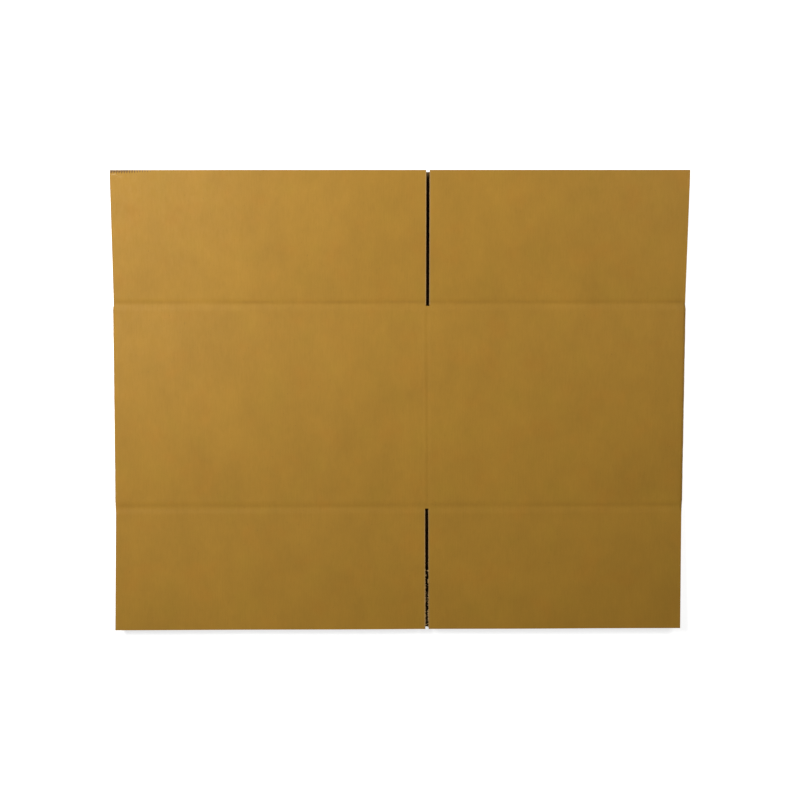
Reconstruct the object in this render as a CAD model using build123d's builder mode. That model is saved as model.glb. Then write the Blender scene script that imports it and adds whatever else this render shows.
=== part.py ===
"""A regular slotted carton of double-wall corrugated board, knocked down flat.

The carton is one blank of board: four panels in a row, each with a flap above and below, and a glue tab. It is
folded over at its first and third creases and glued into a flat sleeve, two boards thick. The front wall is a
length panel and a width panel side by side. Behind them lie the other width panel and the other length panel,
which meet at the glued joint.

The sleeve lies flat with its front wall up. +X runs across the panels, +Y from the bottom flaps to the top
ones, and +Z up. The origin is the middle of its footprint, on the surface it lies on. Sizes are in millimetres.
"""

from build123d import *

import os
from math import cos, pi, radians, sin, tan

# Board
board = 7.0  # thickness of the double-wall board
tab_board = 6.6  # the glue tab's board, pressed thinner where it is glued
tab_clearance = 0.4  # air between the glue tab and the front wall above it

# Panels, from crease to crease along the middle of the board
length_panel = 804.0
width_panel = 660.0
wall_height = 520.0  # from the lower scores to the upper ones
top_flap = 336.0
bottom_flap = 315.0
flap_corner = 2.5  # rounding of the flaps' outer corners

# Slots between the flaps
slot_width = 8.7
slot_shift = 4.0  # the slots were cut this much lower than the scores were pressed

# Scores, and the crease down the front wall
score_width = 18.0
score_depth = 0.8
crease_width = 12.0
crease_depth = 0.5

# Glued joint
joint_gap = 3.0  # between the width panel's free edge and the tab's crease
tab_length = 42.0  # glued length of the tab
tab_step = 14.0  # length over which the tab steps up onto the width panel
tab_taper = 12.0  # how much shorter each end of the tab is at its free edge

# How far the front flaps spring up from the wall
top_flare = 4.2  # degrees
bottom_flare = 2.5  # degrees

# Heights of the two layers
tab_face = board + tab_board
front_under = tab_face + tab_clearance
front_face = front_under + board

# Folds: half rings of board that join the layers at both sides
fold_outer = front_face / 2
fold_inner = (front_under - board) / 2
fold_middle = (fold_outer + fold_inner) / 2
fold_slack = fold_middle * pi / 2 - fold_outer  # board that a fold takes up beyond its own width
slot_turn = slot_width / 2 / fold_middle  # how far round a fold half a slot's width reaches, in radians

# Places across the sleeve
half_width = (length_panel + width_panel) / 2 - fold_slack
fold_centre = half_width - fold_outer
front_crease = length_panel - fold_slack - half_width
joint = half_width + fold_slack - length_panel
width_panel_edge = joint - joint_gap / 2
tab_crease = joint + joint_gap / 2
tab_edge = width_panel_edge - tab_length
flap_side = half_width + fold_slack - slot_width / 2

# Places up the sleeve
half_height = (top_flap + wall_height + bottom_flap) / 2
upper_score = half_height - top_flap
lower_score = upper_score - wall_height
upper_slot_end = upper_score - slot_shift
lower_slot_end = lower_score - slot_shift

clear = 5.0  # how far a cutting shape runs past what it cuts


def section_plane(y):
    """The plane across the sleeve at y, drawn in X and Z and extruded towards -Y."""
    return Plane.XZ.offset(-y)


def span(left, right, low, high, mode=Mode.ADD):
    """A rectangle in the current sketch, between two places across it and two places up it."""
    with Locations(((left + right) / 2, (low + high) / 2)):
        Rectangle(right - left, high - low, mode=mode)


def add_flaps(score, towards, under, length, flare):
    """A row of flaps as one plate, running out along +Y or -Y from its score and rising by flare from a height.

    Below their scores the lower flaps stay joined to the folds as far as the slots' ends.
    """
    rise = radians(flare)
    plate = Plane(origin=(0, score, under), x_dir=(towards, 0, 0), z_dir=(0, -towards * sin(rise), cos(rise)))
    joined = slot_shift if towards < 0 else 0
    with BuildSketch(plate) as row:
        span(-flap_side, flap_side, joined, length)
        fillet(row.vertices().group_by(Axis.Y)[-1], flap_corner)
        span(-fold_centre, fold_centre, 0, length / 2)
    extrude(row.sketch, amount=board)


def cut_slot(x, tip, towards, bottom, top):
    """A slot through one layer, between two heights, from its round tip out past the flaps' ends."""
    centre = tip + towards * slot_width / 2
    beyond = towards * (half_height + clear)
    with BuildSketch(Plane.XY.offset(bottom)) as cut:
        span(x - slot_width / 2, x + slot_width / 2, min(centre, beyond), max(centre, beyond))
        with Locations((x, centre)):
            Circle(slot_width / 2)
    extrude(cut.sketch, amount=top - bottom, mode=Mode.SUBTRACT)


def press_groove(place, run, out, width, depth, length):
    """A shallow round-bottomed groove centred on a place, running both ways along run.

    The direction out points away from the face that it is pressed into.
    """
    radius = (width**2 / 4 + depth**2) / (2 * depth)
    across = Vector(*out).cross(Vector(*run))
    with BuildSketch(Plane(origin=place, x_dir=across, z_dir=run)) as tool:
        with Locations((0, radius - depth)):
            Circle(radius)
    extrude(tool.sketch, amount=length / 2, both=True, mode=Mode.SUBTRACT)


with BuildPart() as folded_carton:
    # Front wall, and the two walls behind it
    with BuildSketch(section_plane(upper_score)):
        span(-fold_centre, fold_centre, front_under, front_face)
        span(-fold_centre, width_panel_edge, 0, board)
        span(tab_crease + tab_step, fold_centre, 0, board)
    extrude(amount=wall_height)

    # Folds at both sides, down to the ends of the lower slots
    with BuildSketch(section_plane(upper_score)):
        with Locations((-fold_centre, fold_outer), (fold_centre, fold_outer)):
            Circle(fold_outer)
            Circle(fold_inner, mode=Mode.SUBTRACT)
        span(-fold_centre, fold_centre, 0, front_face, mode=Mode.SUBTRACT)
    extrude(amount=upper_score - lower_slot_end)

    # The upper slots open the folds too, a wedge out from each fold's centre
    with BuildSketch(section_plane(upper_score)):
        for side in (-1, 1):
            wedge_end = side * (half_width + clear)
            wedge_half = (fold_outer + clear) * tan(slot_turn)
            with BuildLine():
                Polyline(
                    (side * fold_centre, fold_outer),
                    (wedge_end, fold_outer - wedge_half),
                    (wedge_end, fold_outer + wedge_half),
                    close=True,
                )
            make_face()
    extrude(amount=slot_shift, mode=Mode.SUBTRACT)

    # Glue tab: the length panel's board steps up at the joint and lies glued on the width panel
    with BuildSketch(section_plane(upper_slot_end)):
        with BuildLine():
            Polyline(
                (tab_crease + tab_step, 0),
                (tab_crease, board),
                (tab_edge, board),
                (tab_edge, tab_face),
                (tab_crease, tab_face),
                (tab_crease + tab_step, board),
                close=True,
            )
        make_face()
    extrude(amount=upper_slot_end - lower_score)

    # The tab's two ends slope in towards its free edge
    with BuildSketch(Plane.XY.offset(board)):
        for end, inward in ((upper_slot_end, -1), (lower_score, 1)):
            with BuildLine():
                Polyline(
                    (tab_crease, end),
                    (tab_edge, end + inward * tab_taper),
                    (tab_edge - clear, end + inward * tab_taper),
                    (tab_edge - clear, end - inward * clear),
                    (tab_crease, end - inward * clear),
                    close=True,
                )
            make_face()
    extrude(amount=tab_board, mode=Mode.SUBTRACT)

    # Flaps: those in front have sprung up a little, those behind lie flat
    add_flaps(upper_score, 1, front_under, top_flap, top_flare)
    add_flaps(lower_score, -1, front_under, bottom_flap, bottom_flare)
    add_flaps(upper_score, 1, 0, top_flap, 0)
    add_flaps(lower_score, -1, 0, bottom_flap, 0)

    # Slots: beside the front crease in front, and at the joint behind
    highest = folded_carton.part.bounding_box().max.Z
    cut_slot(front_crease, upper_slot_end, 1, tab_face, highest + clear)
    cut_slot(front_crease, lower_slot_end, -1, tab_face, highest + clear)
    cut_slot(joint, upper_slot_end, 1, -clear, board)
    cut_slot(joint, lower_slot_end, -1, -clear, board)

    # Scores across all panels, pressed into the outer faces, and the crease between the front panels
    for score in (upper_score, lower_score):
        press_groove((0, score, front_face), (1, 0, 0), (0, 0, 1), score_width, score_depth, 2 * half_width)
        press_groove((0, score, 0), (1, 0, 0), (0, 0, -1), score_width, score_depth, 2 * half_width)
    crease_middle = (front_crease, (upper_score + lower_score) / 2, front_face)
    press_groove(crease_middle, (0, 1, 0), (0, 0, 1), crease_width, crease_depth, wall_height)

folded_carton.part.label = "folded_carton"

os.makedirs("parts", exist_ok=True)
export_step(folded_carton.part, "parts/folded_carton.step")
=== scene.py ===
"""The looks of a slotted carton of double-wall board, knocked down flat and lying on a pale floor.

The whole carton is one blank. A point of it is named by s, its way across the blank, y, its way up the sleeve,
and n, its way out of the middle of the board towards the outer face. One function folds (s, y, n) into place,
and every piece is a grid of such points. Lengths are in metres.
"""

import math

import bmesh
import bpy
import numpy as np
from mathutils import Euler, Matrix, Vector


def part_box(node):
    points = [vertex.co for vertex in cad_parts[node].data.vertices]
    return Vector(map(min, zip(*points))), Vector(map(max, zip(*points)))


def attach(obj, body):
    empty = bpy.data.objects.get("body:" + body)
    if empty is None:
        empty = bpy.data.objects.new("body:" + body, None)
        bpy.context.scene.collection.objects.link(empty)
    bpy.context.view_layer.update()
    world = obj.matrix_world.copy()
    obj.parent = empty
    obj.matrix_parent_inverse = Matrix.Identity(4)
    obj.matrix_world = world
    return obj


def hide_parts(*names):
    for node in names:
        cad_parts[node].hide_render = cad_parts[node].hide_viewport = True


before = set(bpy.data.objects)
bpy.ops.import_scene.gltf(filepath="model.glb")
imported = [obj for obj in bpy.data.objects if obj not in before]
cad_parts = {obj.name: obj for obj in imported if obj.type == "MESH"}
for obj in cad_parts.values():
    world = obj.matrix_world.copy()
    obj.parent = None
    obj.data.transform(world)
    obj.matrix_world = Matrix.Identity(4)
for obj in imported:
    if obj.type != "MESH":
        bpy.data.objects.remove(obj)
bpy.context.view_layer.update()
NODE = "folded_carton"
low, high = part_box(NODE)

# Board, panels and slots, as in the carton's construction
BOARD = 0.007
GAP = 0.007  # between the two layers
LENGTH_PANEL = 0.804
WIDTH_PANEL = 0.660
WALL = 0.520
BOTTOM_FLAP = 0.315
SLOT = 0.0087
SLOT_SHIFT = 0.004  # the slots end this much lower than the scores
JOINT_GAP = 0.003
TAB = 0.042
TAB_STEP = 0.014
TAB_TAPER = 0.012
TAB_PRESS = 0.0002  # how much the glued tab is pressed in on each face
TOP_FLARE = math.radians(4.2)
BOTTOM_FLARE = math.radians(2.5)

# Layers of the board, and its flutes
LINER = 0.0004
MIDDLE_LINER = 0.0005  # height of the middle liner above the board's middle
FLUTE_PAPER = 0.0003
OUTER_PITCH = 0.0065  # of the flutes under the outer face
INNER_PITCH = 0.0079  # of the flutes over the inner face
MOUTH = 0.02  # how deep the open ends of the flutes are modelled
PLAIN_SINK = 0.0003  # how far the flutes lie in behind the liners at the cut edges along them

# Places that follow from them and from the frame
HALF_HEIGHT = (high.y - low.y) / 2
LOWER = -HALF_HEIGHT + BOTTOM_FLAP
UPPER = LOWER + WALL
UPPER_SLOT_END = UPPER - SLOT_SHIFT
LOWER_SLOT_END = LOWER - SLOT_SHIFT
RING = (BOARD + GAP) / 2  # radius of a fold's middle
MID_Z = BOARD + GAP / 2
QUARTER = RING * math.pi / 2
SLACK = QUARTER - RING - BOARD / 2
FRONT = LENGTH_PANEL + WIDTH_PANEL
HALF_WIDTH = FRONT / 2 - SLACK
FOLD_X = HALF_WIDTH - RING - BOARD / 2
FRONT_CREASE_X = LENGTH_PANEL - FRONT / 2
FREE_EDGE = -WIDTH_PANEL + JOINT_GAP / 2
TAB_CREASE = FRONT + LENGTH_PANEL - JOINT_GAP / 2
TAB_END = TAB_CREASE + TAB
FIRST_FLAP_SIDE = SLOT / 2 - WIDTH_PANEL
LAST_FLAP_SIDE = FRONT + LENGTH_PANEL - SLOT / 2
SLOTS = (0.0, LENGTH_PANEL, FRONT)  # places of the slots across the blank


def smooth(t):
    """The smooth step from 0 to 1: three t squared less two t cubed, flat outside."""
    t = np.clip(t, 0, 1)
    return t * t * (3 - 2 * t)


def bell(t):
    """A bump of height 1 at 0 that falls off as e to the minus t squared."""
    return np.exp(-np.square(t))


def ripple(u, v, scale, seed, count=7):
    """A gentle uneven field between about -1 and 1: a sum of sine waves whose directions, lengths and phases
    are drawn at random round a typical length."""
    draw = np.random.default_rng(seed)
    total = np.zeros(np.broadcast(u, v).shape)
    for _ in range(count):
        turn, size, phase = draw.uniform(0, math.tau, 3) * (1, 0.12, 1) + (0, 0.65, 0)
        total += np.sin((u * np.cos(turn) + v * np.sin(turn)) * math.tau / (scale * size) + phase)
    return total / math.sqrt(count)


def racking(x, y):
    """How far a point of the front layer has moved sideways, because the sleeve was pressed flat a little
    askew: the folds and outer edges lean, and the slots less so. Both leans run straight from the bottom edge
    to the scores and the top edge, and blend smoothly across."""
    heights = (-HALF_HEIGHT, LOWER, UPPER, HALF_HEIGHT)
    outside = np.interp(y, heights, (-0.0042, -0.0011, 0.0018, 0.0034))
    inside = np.interp(y, heights, (-0.0026, -0.0026, 0.0, 0.0))
    edge = smooth((np.abs(x - FRONT_CREASE_X) - 0.1) / 0.45)
    return inside + (outside - inside) * edge


def wrapped(s, y, n):
    """The blank laid round the sleeve. Beside each fold the board runs round a half ring, and further off it is
    flat, at the back layer's height behind and the front layer's in front. Above and below the wall it is flat
    right to its slots. Gives x, z and whether the point is in front."""
    opening_lead, opening = 0.002, 0.016  # the folds open out flat over this stretch at the slots' ends
    left = s < FRONT / 2
    d = np.where(left, s, FRONT - s)
    angle = np.clip(d / RING, -math.pi / 2, math.pi / 2)
    flat = np.maximum(np.abs(d) - QUARTER, 0)
    ring_x = FOLD_X - flat + (RING + n) * np.cos(angle)
    ring_z = MID_Z + (RING + n) * np.sin(angle)
    flat_x = HALF_WIDTH + SLACK - np.abs(d)
    flat_z = MID_Z + np.where(d > 0, 1, -1) * (RING + n)
    past = np.maximum(y - UPPER_SLOT_END, LOWER_SLOT_END - y)
    apart = smooth((past + opening_lead) / opening)
    x = np.where(left, -1, 1) * (ring_x + (flat_x - ring_x) * apart)
    z = ring_z + (flat_z - ring_z) * apart
    return x, z, d > 0


def fold(s, y, n):
    """Folds the blank: wraps it round the sleeve, steps the tab up onto the width panel, lets the front flaps
    rise from their scores, sags both layers a little and racks them sideways."""
    s, y, n = np.broadcast_arrays(np.asarray(s, float), np.asarray(y, float), np.asarray(n, float))
    x, z, front = wrapped(s, y, n)

    # The tab steps up off the ground and lies on the width panel's inner face
    on_tab = smooth((s - (TAB_CREASE - TAB_STEP)) / TAB_STEP) * (s > FRONT + LENGTH_PANEL / 2)
    z = z + on_tab * (BOARD - TAB_PRESS)
    y = y * (1 - np.clip((s - TAB_CREASE) / TAB, 0, 1) * 2 * TAB_TAPER / WALL)

    # Front flaps rise along a short bend at the score
    bend = 0.008
    for score, towards, flare in ((UPPER, 1, TOP_FLARE), (LOWER, -1, BOTTOM_FLARE)):
        out = (y - score) * towards
        run = np.where(out > bend, out - bend / 2, np.maximum(out, 0) ** 2 / (2 * bend))
        z = z + np.where(front, run * math.sin(flare), 0)
        y = np.where(front & (out > 0), score + towards * (out * math.cos(flare) - n * math.sin(flare)), y)

    # Both layers sag unevenly towards each other, but not at the folds, and the front one not over the tab
    sag_size, front_sag, back_sag = 0.55, 0.0011, 0.0007
    sag = np.clip(0.5 + 0.5 * ripple(x, y, sag_size, 3), 0, 1.2) * smooth((FOLD_X - np.abs(x)) / 0.12)
    off_tab = smooth((np.abs(x + 0.1) - 0.03) / 0.1)
    z = z + np.where(front, -front_sag * sag * off_tab, back_sag * sag)
    back_share = 0.35  # of the front layer's racking that the back one has
    x = x + racking(x, y) * np.where(front, 1, back_share)
    return np.stack([x, y, z], axis=-1)


def relief(s, y):
    """How far the outer face stands off its plain place: grooves at the scores with low banks beside them, the
    crease between the front panels, ridges and small wrinkles round the folds, and a crushed corner at the
    upper left. Each is a bell across its own line."""
    rise = np.zeros(np.broadcast(s, y).shape)
    bank_height, bank_off, bank_width = 0.00018, 0.017, 0.006
    for score, depth in ((UPPER, 0.0009), (LOWER, 0.0006)):
        groove_width = 0.0075 + 0.0012 * np.sin(s * 9 + score)
        rise -= depth * (0.8 + 0.2 * np.sin(s * 23)) * bell((y - score) / groove_width)
        banks = bell((y - score - bank_off) / bank_width) + bell((y - score + bank_off) / bank_width)
        rise += bank_height * banks

    wall = smooth((y - LOWER + 0.004) / 0.02) * smooth((UPPER - y + 0.002) / 0.02)
    crease_depth = 0.00042
    crease = s - LENGTH_PANEL + 0.004 * np.clip((y + 0.1) / 0.3, 0, 1)
    rise += wall * crease_depth * (bell((crease + 0.004) / 0.004) - bell((crease - 0.003) / 0.0045))

    ridge_height, wrinkle_height = 0.00035, 0.0003
    for d in (s, FRONT - s):
        ridges = ridge_height * np.cos(d * 900)
        wrinkles = wrinkle_height * ripple(d * 2.0, y, 0.03, 11) * bell(d / 0.01)
        rise += bell(d / 0.012) * wall * (ridges + wrinkles)

    crush_depth = 0.0034
    corner = bell((s - 0.012) / 0.075) * (s > 0) * smooth((y - HALF_HEIGHT + 0.012) / 0.012)
    return rise - crush_depth * corner


def spaced(start, end, step, cuts, fine):
    """Places from start to end, at most a step apart: every cut exactly, and closer ones within each
    (place, reach) of fine that keep clear of the cuts."""
    fine_step = 0.0022
    fixed = np.array([start, end, *cuts])
    close = [np.arange(centre - reach, centre + reach + fine_step / 2, fine_step) for centre, reach in fine]
    close = np.concatenate(close)
    close = close[(close > start) & (close < end)]
    close = close[np.abs(close[:, None] - fixed[None]).min(axis=1) > fine_step / 2]
    inside = np.unique(np.round(np.concatenate([fixed, close]), 7))
    runs = [np.linspace(p, q, max(1, math.ceil((q - p) / step)) + 1)[1:] for p, q in zip(inside, inside[1:])]
    return np.concatenate([inside[:1], *runs])


def make_mesh(name, points, faces, materials, kinds=0, rounded=True):
    """A mesh object at the origin from points and four-cornered faces. Kinds gives each face its place in the
    list of materials. Points at one place are joined and the faces turned outward."""
    mesh = bpy.data.meshes.new(name)
    mesh.from_pydata(points.reshape(-1, 3).tolist(), [], faces.tolist())
    mesh.polygons.foreach_set("use_smooth", np.full(len(faces), rounded))
    mesh.polygons.foreach_set("material_index", np.full(len(faces), kinds, dtype=np.int32))
    for material in materials:
        mesh.materials.append(material)
    work = bmesh.new()
    work.from_mesh(mesh)
    bmesh.ops.remove_doubles(work, verts=work.verts, dist=1e-6)
    bmesh.ops.recalc_face_normals(work, faces=work.faces)
    work.to_mesh(mesh)
    work.free()
    obj = bpy.data.objects.new(name, mesh)
    bpy.context.scene.collection.objects.link(obj)
    return obj


def blank_lines():
    """The lines of the blank's grid, across it and up it: one exactly at each slot's side, at the tab and at
    the flutes' depth, and closer ones round the folds, the tab's step, the scores and the upper edge."""
    step = 0.018
    cut_s = [c + side * SLOT / 2 for c in SLOTS for side in (-1, 1)]
    cut_s += [FIRST_FLAP_SIDE, LAST_FLAP_SIDE, TAB_CREASE, TAB_CREASE - TAB_STEP]
    fine_s = [(c, 0.014) for c in SLOTS] + [(TAB_CREASE - TAB_STEP / 2, 0.01)]
    cut_y = [UPPER_SLOT_END, LOWER_SLOT_END, LOWER, HALF_HEIGHT - MOUTH, MOUTH - HALF_HEIGHT]
    fine_y = [(UPPER, 0.022), (LOWER, 0.022), (HALF_HEIGHT - 0.006, 0.006)]
    columns = spaced(FREE_EDGE, TAB_END, step, cut_s, fine_s)
    rows = spaced(-HALF_HEIGHT, HALF_HEIGHT, step, cut_y, fine_y)
    return columns, rows


def board_cells(columns, rows):
    """Which cells between the lines hold board: all but those in the slots, beside the joint's flaps, and above
    and below the tab."""
    mid_s = (columns[1:] + columns[:-1]) / 2
    mid_y = (rows[1:] + rows[:-1]) / 2
    in_slot = np.min([np.abs(mid_s - c) for c in SLOTS], axis=0) < SLOT / 2
    in_slot |= (mid_s < FIRST_FLAP_SIDE) | (mid_s > LAST_FLAP_SIDE)
    slot_rows = (mid_y > UPPER_SLOT_END) | (mid_y < LOWER_SLOT_END)
    tab_rows = (mid_y > LOWER) & (mid_y < UPPER_SLOT_END)
    on_tab = mid_s > TAB_CREASE - TAB_STEP
    return ~(in_slot[:, None] & slot_rows) & (~on_tab[:, None] | tab_rows)


def edge_profile():
    """The cut edge's steps from the outer face to the inner one, as pairs of n and how deep the step lies: out
    on each of the three liners and in between them."""
    outer, inner = BOARD / 2 - LINER, LINER - BOARD / 2
    middle_top, middle_under = MIDDLE_LINER + LINER / 2, MIDDLE_LINER - LINER / 2
    upper_flutes = [(outer, 0), (outer, 1), (middle_top, 1), (middle_top, 0)]
    lower_flutes = [(middle_under, 0), (middle_under, 1), (inner, 1), (inner, 0)]
    return upper_flutes + lower_flutes


def cell_sides(here):
    """For each of the four directions, the grid points at both ends of every cell side where board stops."""
    padded = np.pad(here, 1)
    for di, dj in ((-1, 0), (1, 0), (0, -1), (0, 1)):
        i, j = np.nonzero(here & ~np.roll(padded, (-di, -dj), (0, 1))[1:-1, 1:-1])
        if di:
            start, stop = (i + (di > 0), j + (di < 0)), (i + (di > 0), j + (di > 0))
        else:
            start, stop = (i + (dj > 0), j + (dj > 0)), (i + (dj < 0), j + (dj > 0))
        yield di, dj, start, stop


def carton_sheet(materials):
    """The blank as one sheet: its outer and inner faces on one grid of s and y with the slots left out, and its
    cut edges. Edges along the flutes are plain, and those across them are open between the liners."""
    columns, rows = blank_lines()
    here = board_cells(columns, rows)
    s, y = np.meshgrid(columns, rows, indexing="ij")
    out = np.where(s > TAB_CREASE, BOARD / 2 - TAB_PRESS, BOARD / 2) + relief(s, y)
    points = np.concatenate([fold(s, y, out).reshape(-1, 3), fold(s, y, -BOARD / 2).reshape(-1, 3)])
    number = np.arange(s.size).reshape(s.shape)
    corners = [number[:-1, :-1], number[1:, :-1], number[1:, 1:], number[:-1, 1:]]
    outer = np.stack([corner[here] for corner in corners], axis=1)
    inner = outer[:, ::-1] + s.size
    faces, kinds = [outer, inner], [np.zeros(len(outer)), np.ones(len(inner))]

    for di, dj, start, stop in cell_sides(here):
        open_end = (np.abs(rows[start[1]]) > HALF_HEIGHT - 1e-6) & (dj != 0)
        rings = []
        for end in (start, stop):
            steps = [number[end]]
            for n, deep in edge_profile():
                n_here = n + (out[end] - BOARD / 2) * (n + BOARD / 2) / BOARD
                inward = np.where(open_end, deep * MOUTH, deep * PLAIN_SINK) * dj
                aside = np.where(open_end, 0, deep * PLAIN_SINK) * di
                steps.append(len(points) + np.arange(len(n_here)))
                points = np.concatenate([points, fold(s[end] - aside, y[end] - inward, n_here)])
            steps.append(number[end] + s.size)
            rings.append(steps)
        first, second = rings
        for k in range(len(first) - 1):
            strip = np.stack([first[k + 1], second[k + 1], second[k], first[k]], axis=1)
            faces.append(strip)
            kinds.append(np.full(len(strip), 2))
    obj = make_mesh("carton_sheet", points, np.concatenate(faces), materials, np.concatenate(kinds))
    obj.data.set_sharp_from_angle(angle=math.radians(40))
    return obj


def tubes(name, bundles, material, rounded):
    """One mesh of several closed tubes. Each is an array of rings of points, joined ring to ring, with both
    ends closed by a row of quads."""
    faces, start = [], 0
    for rings in bundles:
        count, around = rings.shape[:2]
        index = start + np.arange(count * around).reshape(count, around)
        after = np.roll(index, -1, axis=1)
        walls = np.stack([index[:-1], index[1:], after[1:], after[:-1]], axis=-1).reshape(-1, 4)
        k = np.arange(around // 2 - 1)
        cap = np.stack([k, k + 1, around - 2 - k, around - 1 - k], axis=1)
        faces += [walls, index[0][cap], index[-1][cap]]
        start += count * around
    points = np.concatenate([rings.reshape(-1, 3) for rings in bundles])
    return make_mesh(name, points, np.concatenate(faces), [material], rounded=rounded)


def flute_media(material):
    """The two waved layers of paper between the liners, seen in the flaps' open ends: a sine wave along s,
    with the thickness of its paper, carried a little way into the board."""
    stops = [-WIDTH_PANEL, 0, LENGTH_PANEL, FRONT, FRONT + LENGTH_PANEL]
    flaps = [(start + SLOT / 2, stop - SLOT / 2) for start, stop in zip(stops, stops[1:])]
    layers = (
        (OUTER_PITCH, MIDDLE_LINER + LINER / 2, BOARD / 2 - LINER),
        (INNER_PITCH, LINER - BOARD / 2, MIDDLE_LINER - LINER / 2),
    )
    clear, uneven = 0.0004, 0.0007  # how far the paper stays inside the cut, and how unevenly
    half = FLUTE_PAPER / 2
    waves = []
    for start, stop in flaps:
        for towards in (-1, 1):
            for pitch, under, over in layers:
                s = np.arange(start + clear, stop - clear, pitch / 8)
                crush = 1 - 0.16 * np.clip(ripple(s, 0.3 * towards, 0.06, 21), 0, 1)
                reach = (over - under - FLUTE_PAPER) / 2
                wave = (under + over) / 2 + reach * crush * np.sin(s * math.tau / pitch)
                end = towards * (HALF_HEIGHT - clear - uneven * np.abs(ripple(s, 0.1, 0.02, 5)))
                deep = np.full(len(s), towards * (HALF_HEIGHT - MOUTH + 0.001))
                loop = [(end, half), (deep, half), (deep, -half), (end, -half)]
                waves.append(np.stack([fold(s, y, wave + off) for y, off in loop], axis=1))
    return tubes("flute_media", waves, material, False)


def slot_lips(material):
    """The raw cut edges along the two front slots: a closed profile carried along each side, from the face over
    a low burr and down the slot's side, ragged where the knife dragged near the bottom edge."""
    across = np.array([0.0030, 0.0021, 0.0013, 0.0006, 0.0, -0.0004, -0.0002, 0.0001])
    height = np.array([-0.0004, 0.00006, 0.00016, 0.00024, 0.00012, -0.0006, -0.0022, -0.0052])
    burr = bell(np.arange(8) / 4 - 1)
    tip_clear, end_clear = 0.003, 0.0004
    upper = (UPPER_SLOT_END + tip_clear, HALF_HEIGHT - end_clear)
    lower = (LOWER_SLOT_END - tip_clear, end_clear - HALF_HEIGHT)
    lips = []
    for first, last in (upper, lower):
        y = np.linspace(first, last, 330)
        worn = 0.15 + smooth((LOWER - 0.10 - y) / 0.06)
        for side in (-1, 1):
            coarse = ripple(y, 0.2 * side, 0.012, 31 + side, 9)
            fine = ripple(y, 0.4 * side, 0.004, 41 + side, 9)
            ragged = (coarse + fine) / 2
            bite = 0.0011 * worn * np.clip(ragged, -1, 1.5)
            offset = np.outer(1 + 0.35 * worn * ragged, across) - bite[:, None]
            lift = height + np.outer(0.0005 * worn * np.clip(ragged, 0, 2), burr)
            s = LENGTH_PANEL + side * (SLOT / 2 + offset)
            up = np.broadcast_to(y[:, None], s.shape)
            lips.append(fold(s, up, BOARD / 2 + relief(s, up) + lift))
    return tubes("slot_lips", lips, material, True)


def frayed_bits(material):
    """Small torn flakes of liner hanging in the lower slot: each is a thin closed leaf, wide at its root on the
    lip, narrowing with the power 1.5 of the way to its tip, and bent down with the square of it."""
    count, thick = 95, 0.0003
    draw = np.random.default_rng(8)
    draw.normal(0, 0.55, count)  # not used: it keeps the draws below, and so the flakes, as they are
    root_y = -HALF_HEIGHT + 0.004 + draw.beta(1.1, 2.2, count) * 0.19
    side = draw.choice([-1, 1], count)
    length = draw.uniform(0.0012, 0.0052, count)
    wide = draw.uniform(0.0008, 0.0032, count)
    lean = draw.normal(0, 0.5, count)
    drop = draw.uniform(0.1, 1.0, count)
    drawn = (root_y, side, length, wide, lean, drop)
    root_y, side, length, wide, lean, drop = (values[:, None, None] for values in drawn)

    u, v = np.meshgrid(np.linspace(0, 1, 5), np.linspace(-0.5, 0.5, 3), indexing="ij")
    reach = u * length
    s = LENGTH_PANEL + side * (SLOT / 2 + 0.0006 - reach)
    y = root_y + v * (1 - 0.75 * u ** 1.5) * wide + lean * reach
    level = BOARD / 2 + 0.0002 - drop * reach ** 2 / 0.004
    top, under = fold(s, y, level), fold(s, y, level - thick)

    grid = np.arange(u.size).reshape(u.shape)
    leaf = np.stack([grid[:-1, :-1], grid[1:, :-1], grid[1:, 1:], grid[:-1, 1:]], axis=-1).reshape(-1, 4)
    rim = np.concatenate([grid[:, 0], grid[-1, 1:], grid[-2::-1, -1], grid[0, -2:0:-1]])
    rim_after = np.roll(rim, -1)
    wall = np.stack([rim, rim + u.size, rim_after + u.size, rim_after], axis=1)
    flake = np.concatenate([leaf, leaf[:, ::-1] + u.size, wall])
    faces = flake + (np.arange(count) * 2 * u.size)[:, None, None]
    points = np.concatenate([top.reshape(count, -1, 3), under.reshape(count, -1, 3)], axis=1)
    return make_mesh("frayed_bits", points, faces.reshape(-1, 4), [material])


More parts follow.
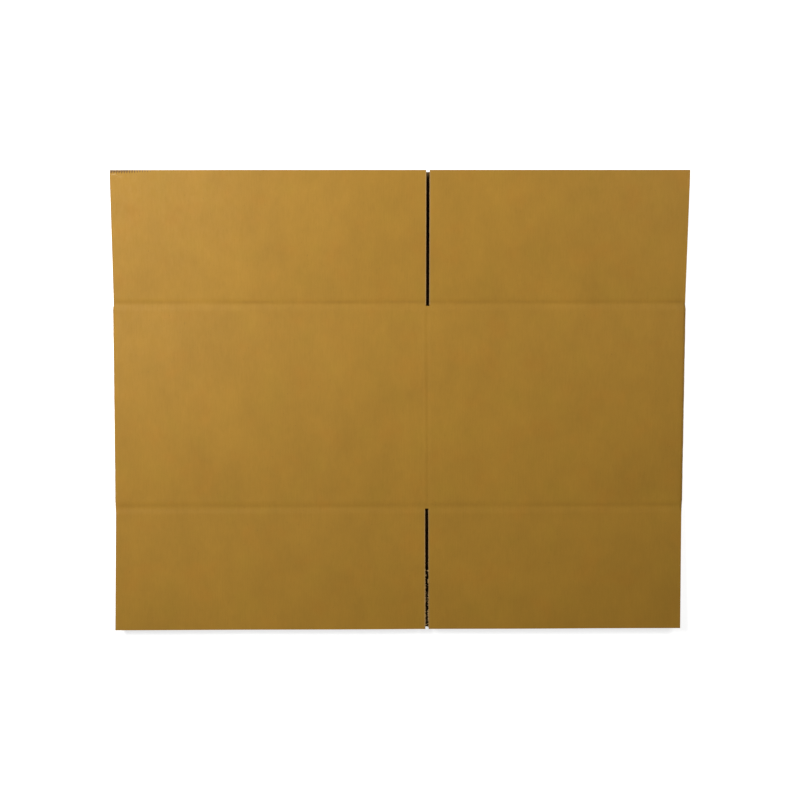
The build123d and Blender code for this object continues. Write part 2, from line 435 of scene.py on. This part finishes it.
class Nodes:
    """A few short ways to write a shader tree. A value given for a socket is a number, a colour or a socket."""

    def __init__(self, tree):
        self.tree = tree

    def give(self, socket, value):
        if isinstance(value, bpy.types.NodeSocket):
            self.tree.links.new(value, socket)
        else:
            socket.default_value = value

    def add(self, kind, inputs=None, **settings):
        node = self.tree.nodes.new(kind)
        for key, value in settings.items():
            setattr(node, key, value)
        for key, value in (inputs or {}).items():
            self.give(node.inputs[key], value)
        return node

    def place(self):
        return self.add("ShaderNodeTexCoord").outputs["Object"]

    def noise(self, place, scale, detail=3.0, rough=0.5):
        inputs = {"Vector": place, "Scale": scale, "Detail": detail, "Roughness": rough}
        return self.add("ShaderNodeTexNoise", inputs).outputs["Fac"]

    def stretched(self, place, scales):
        return self.add("ShaderNodeMapping", {"Vector": place, "Scale": scales}).outputs["Vector"]

    def stretched_noise(self, place, scales, detail=3.0, rough=0.5):
        """Noise with its own scale along each axis."""
        return self.noise(self.stretched(place, scales), 1.0, detail, rough)

    def calc(self, operation, a, b=0.0):
        return self.add("ShaderNodeMath", {0: a, 1: b}, operation=operation).outputs[0]

    def product(self, *values):
        total = values[0]
        for value in values[1:]:
            total = self.calc("MULTIPLY", total, value)
        return total

    def distance(self, value, middle):
        return self.calc("ABSOLUTE", self.calc("SUBTRACT", value, middle))

    def within(self, value, low_in, high_in, low_out=0.0, high_out=1.0):
        """A smooth step from low_out to high_out, while the value goes from low_in to high_in."""
        ends = {"From Min": low_in, "From Max": high_in, "To Min": low_out, "To Max": high_out}
        node = self.add("ShaderNodeMapRange", {"Value": value, **ends}, interpolation_type="SMOOTHSTEP")
        return node.outputs["Result"]

    def lighter(self, colour, change):
        """The colour times one more than the change."""
        inputs = {0: colour, "Scale": self.calc("ADD", 1.0, change)}
        return self.add("ShaderNodeVectorMath", inputs, operation="SCALE").outputs[0]

    def blend(self, share, one, other, how="MIX"):
        node = self.add("ShaderNodeMix", data_type="RGBA", blend_type=how)
        for number, value in ((0, share), (6, one), (7, other)):
            self.give(node.inputs[number], value)
        return node.outputs[2]


def paper_group():
    """Kraft paper, shared by every material: a colour with cloudy tone, hue patches, fibres and specks, and the
    height of its fibres. Its inputs are the paper's plain colour and how strong the clouds and fibres are."""
    group = bpy.data.node_groups.new("kraft_paper", "ShaderNodeTree")
    group.interface.new_socket("Colour", in_out="INPUT", socket_type="NodeSocketColor")
    group.interface.new_socket("Clouds", in_out="INPUT", socket_type="NodeSocketFloat")
    group.interface.new_socket("Fibres", in_out="INPUT", socket_type="NodeSocketFloat")
    group.interface.new_socket("Colour", in_out="OUTPUT", socket_type="NodeSocketColor")
    group.interface.new_socket("Height", in_out="OUTPUT", socket_type="NodeSocketFloat")
    n = Nodes(group)
    given = n.add("NodeGroupInput").outputs
    place = n.place()

    # Cloudy tone, broad and small, and fibres, long and fine, both about a middle of 0.5
    broad = n.noise(place, 5.5, 4.0, 0.55)
    patch = n.noise(n.stretched(place, (1.0, 0.7, 1.0)), 21.0, 3.0, 0.6)
    cloud = n.calc("ADD", n.product(broad, 0.5), n.product(patch, 0.5))
    tone = n.product(n.calc("SUBTRACT", cloud, 0.5), given["Clouds"])
    grain = n.stretched_noise(place, (260.0, 38.0, 260.0), 3.0, 0.65)
    fine = n.stretched_noise(place, (1500.0, 500.0, 1500.0), 2.0, 0.6)
    fibre = n.calc("ADD", n.product(grain, 0.55), n.product(fine, 0.45))
    fibre_tone = n.product(n.calc("SUBTRACT", fibre, 0.5), given["Fibres"])
    shade = n.lighter(given["Colour"], n.calc("ADD", tone, fibre_tone))

    # Patches that lean to red and to green, and dark specks
    aside = n.add("ShaderNodeVectorMath", {0: place, 1: (7.1, 3.3, 1.7)}).outputs[0]
    hue = n.noise(aside, 11.0, 3.0, 0.55)
    shade = n.blend(n.within(hue, 0.52, 0.70, 0.0, 0.75), shade, (1.035, 0.975, 0.95, 1), "MULTIPLY")
    shade = n.blend(n.within(hue, 0.48, 0.30, 0.0, 0.75), shade, (0.985, 1.02, 0.97, 1), "MULTIPLY")
    specks = n.stretched_noise(place, (420.0, 160.0, 420.0), 1.0)
    shade = n.blend(n.within(specks, 0.735, 0.80, 0.0, 0.30), shade, (0.12, 0.055, 0.02, 1))

    out = n.add("NodeGroupOutput")
    group.links.new(shade, out.inputs["Colour"])
    group.links.new(fibre, out.inputs["Height"])
    return group


def paper(name, colour, clouds, fibres, fibre_height, rough, detail=None):
    """A paper material: the shared kraft paper in one colour, with what detail adds to its colour and height.
    Its roughness varies a little with the fibres."""
    material = bpy.data.materials.new(name)
    material.use_nodes = True
    n = Nodes(material.node_tree)
    shader = material.node_tree.nodes["Principled BSDF"]
    shader.inputs["Specular IOR Level"].default_value = 0.22
    inputs = {"Colour": (*colour, 1), "Clouds": clouds, "Fibres": fibres}
    kraft = n.add("ShaderNodeGroup", node_tree=KRAFT_PAPER)
    for key, value in inputs.items():
        n.give(kraft.inputs[key], value)
    shade = kraft.outputs["Colour"]
    height = n.product(kraft.outputs["Height"], fibre_height)
    if detail:
        shade, height = detail(n, shade, height)
    uneven = n.within(kraft.outputs["Height"], 0.35, 0.65, rough + 0.05, rough - 0.05)
    raised = n.add("ShaderNodeBump", {"Height": height, "Distance": 1.0, "Strength": 1.0})
    n.give(shader.inputs["Base Color"], shade)
    n.give(shader.inputs["Roughness"], uneven)
    n.give(shader.inputs["Normal"], raised.outputs["Normal"])
    return material


def flute_ripples_and_shade(n, place, x, shade, height):
    """Faint lines where the flutes show through: a sine across the board that wavers and comes and goes, as a
    faint bump and as painted shade of those ripples.
    """
    wobble = n.product(n.noise(place, 6.0, 2.0), 0.01)
    line = n.calc("SINE", n.product(n.calc("ADD", x, wobble), math.tau / OUTER_PITCH))
    line = n.product(line, n.within(n.stretched_noise(place, (9.0, 2.0, 9.0)), 0.35, 0.75))
    height = n.calc("ADD", height, n.product(line, 0.000012))
    # the change of colour is painted shade of the flute ripples, beside their faint bump
    return n.lighter(shade, n.product(line, 0.012)), height


def painted_score_shade(n, place, y, shade):
    """Painted shade: a darker, uneven line just above each score, where the groove's upper wall lies in shade.
    """
    line_off, line_half = 0.006, 0.007
    for score, strength in ((UPPER, 0.16), (LOWER, 0.10)):
        line = n.within(n.distance(y, score + line_off), line_half, 0.0)
        patchy = n.within(n.stretched_noise(place, (14.0, 60.0, 1.0)), 0.35, 0.7, 0.3, 1.0)
        # the dark colour here is painted shade of each groove's upper wall
        shade = n.blend(n.product(line, patchy, strength), shade, (0.20, 0.095, 0.022, 1))
    return shade


def rubbed_edges(n, place, x, y, shade):
    """Paler paper in patches along the ends and the folds."""
    ends = n.within(n.calc("ABSOLUTE", y), HALF_HEIGHT - 0.003, HALF_HEIGHT)
    folds = n.within(n.calc("ABSOLUTE", x), HALF_WIDTH - 0.008, HALF_WIDTH - 0.002)
    patchy = n.within(n.stretched_noise(place, (80.0, 80.0, 80.0), 4.0, 0.7), 0.48, 0.66)
    return n.blend(n.product(n.calc("MAXIMUM", ends, folds), patchy, 0.45), shade, (0.50, 0.31, 0.10, 1))


def scuffed_corner(n, place, x, y, shade):
    """Pale scuffs at the crushed upper left corner."""
    corner_x = n.within(x, -HALF_WIDTH + 0.075, -HALF_WIDTH + 0.01)
    corner_y = n.within(y, HALF_HEIGHT - 0.03, HALF_HEIGHT - 0.012)
    scuff = n.within(n.stretched_noise(place, (60.0, 190.0, 60.0), 4.0, 0.7), 0.56, 0.66)
    return n.blend(n.product(scuff, 0.6, corner_x, corner_y), shade, (0.55, 0.36, 0.14, 1))


def board_face(n, shade, height):
    """What the board's outer face adds to the paper's colour and height, with painted shade along the flutes
    and above the scores.
    """
    place = n.place()
    x, y, _ = n.add("ShaderNodeSeparateXYZ", {0: place}).outputs
    shade, height = flute_ripples_and_shade(n, place, x, shade, height)
    shade = painted_score_shade(n, place, y, shade)
    shade = rubbed_edges(n, place, x, y, shade)
    return scuffed_corner(n, place, x, y, shade), height


def seen_directly(n):
    """1 for rays from the camera, a mirror or glass, and 0 for the rays that carry light between surfaces."""
    path = n.add("ShaderNodeLightPath").outputs
    bounced = n.calc("MAXIMUM", path["Is Glossy Ray"], path["Is Transmission Ray"])
    return n.calc("MAXIMUM", path["Is Camera Ray"], bounced)


def pale_floor():
    """A wide matt floor just under the carton. It glows a little to the camera and in mirrors, so that it looks
    white there and still takes the carton's shadow."""
    reach, depth = 30.0, 0.0006
    mesh = bpy.data.meshes.new("floor")
    corners = [(x * reach, y * reach, -depth) for x, y in ((-1, -1), (1, -1), (1, 1), (-1, 1))]
    mesh.from_pydata(corners, [], [(0, 1, 2, 3)])
    material = bpy.data.materials.new("pale_floor")
    material.use_nodes = True
    n = Nodes(material.node_tree)
    shader = material.node_tree.nodes["Principled BSDF"]
    shader.inputs["Base Color"].default_value = (0.82, 0.82, 0.82, 1)
    shader.inputs["Roughness"].default_value = 0.9
    shader.inputs["Specular IOR Level"].default_value = 0.1
    shader.inputs["Emission Color"].default_value = (1, 1, 1, 1)
    n.give(shader.inputs["Emission Strength"], n.product(seen_directly(n), 0.80))
    mesh.materials.append(material)
    floor = bpy.data.objects.new("floor", mesh)
    bpy.context.scene.collection.objects.link(floor)
    return floor


def white_world():
    """White where the camera, a mirror or glass looks past the floor, and no light of its own elsewhere."""
    world = bpy.data.worlds.new("studio")
    bpy.context.scene.world = world
    world.use_nodes = True
    n = Nodes(world.node_tree)
    back = world.node_tree.nodes["Background"]
    back.inputs["Color"].default_value = (1, 1, 1, 1)
    n.give(back.inputs["Strength"], seen_directly(n))


def softbox(name, place, aim, power):
    """A square studio lamp at a place, turned towards a point."""
    data = bpy.data.lights.new(name, "AREA")
    data.shape = "SQUARE"
    data.size = 1.0
    data.energy = power
    lamp = bpy.data.objects.new(name, data)
    bpy.context.scene.collection.objects.link(lamp)
    lamp.location = place
    lamp.rotation_euler = (Vector(place) - Vector(aim)).to_track_quat("Z", "Y").to_euler()


def camera_above():
    """A camera above the carton that looks almost straight down on it."""
    tilt, turn, roll = -2.979, -0.492, -0.101  # degrees about X, Y and Z
    aside, above_middle, height = -0.0207, 0.1492, 2.5765
    data = bpy.data.cameras.new("camera")
    data.sensor_width = 36.0
    data.lens = 45.0
    camera = bpy.data.objects.new("camera", data)
    bpy.context.scene.collection.objects.link(camera)
    camera.location = (aside, (UPPER + LOWER) / 2 + above_middle, height)
    camera.rotation_euler = Euler([math.radians(angle) for angle in (tilt, turn, roll)], "XYZ")
    return camera


# Papers: colour, clouds, fibres, fibre height, roughness
KRAFT_PAPER = paper_group()
kraft_outside = paper("kraft_outside", (0.405, 0.212, 0.024), 0.42, 0.24, 0.00006, 0.60, board_face)
kraft_inside = paper("kraft_inside", (0.13, 0.075, 0.026), 0.22, 0.25, 0.0001, 0.8)
cut_edge = paper("cut_edge", (0.36, 0.215, 0.070), 0.3, 0.5, 0.0002, 0.85)
raw_lip = paper("raw_lip", (0.44, 0.265, 0.085), 0.3, 0.5, 0.0002, 0.85)
flute_paper = paper("flute_paper", (0.25, 0.145, 0.055), 0.3, 0.3, 0.0001, 0.85)
torn_paper = paper("torn_paper", (0.50, 0.33, 0.14), 0.3, 0.5, 0.0002, 0.9)

# Pieces
sheet = carton_sheet([kraft_outside, kraft_inside, cut_edge])
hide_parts(NODE)
for piece in (sheet, flute_media(flute_paper), slot_lips(raw_lip), frayed_bits(torn_paper)):
    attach(piece, "root")

# Studio
white_world()
softbox("key", (-1.45, 0.85, 2.00), (0.20, 0.40, 0), 58.5)
softbox("fill", (1.45, 1.10, 1.80), (-0.50, 0.40, 0), 19.0)
pale_floor()
bpy.context.scene.camera = camera_above()
bpy.context.scene.view_settings.view_transform = "Standard"
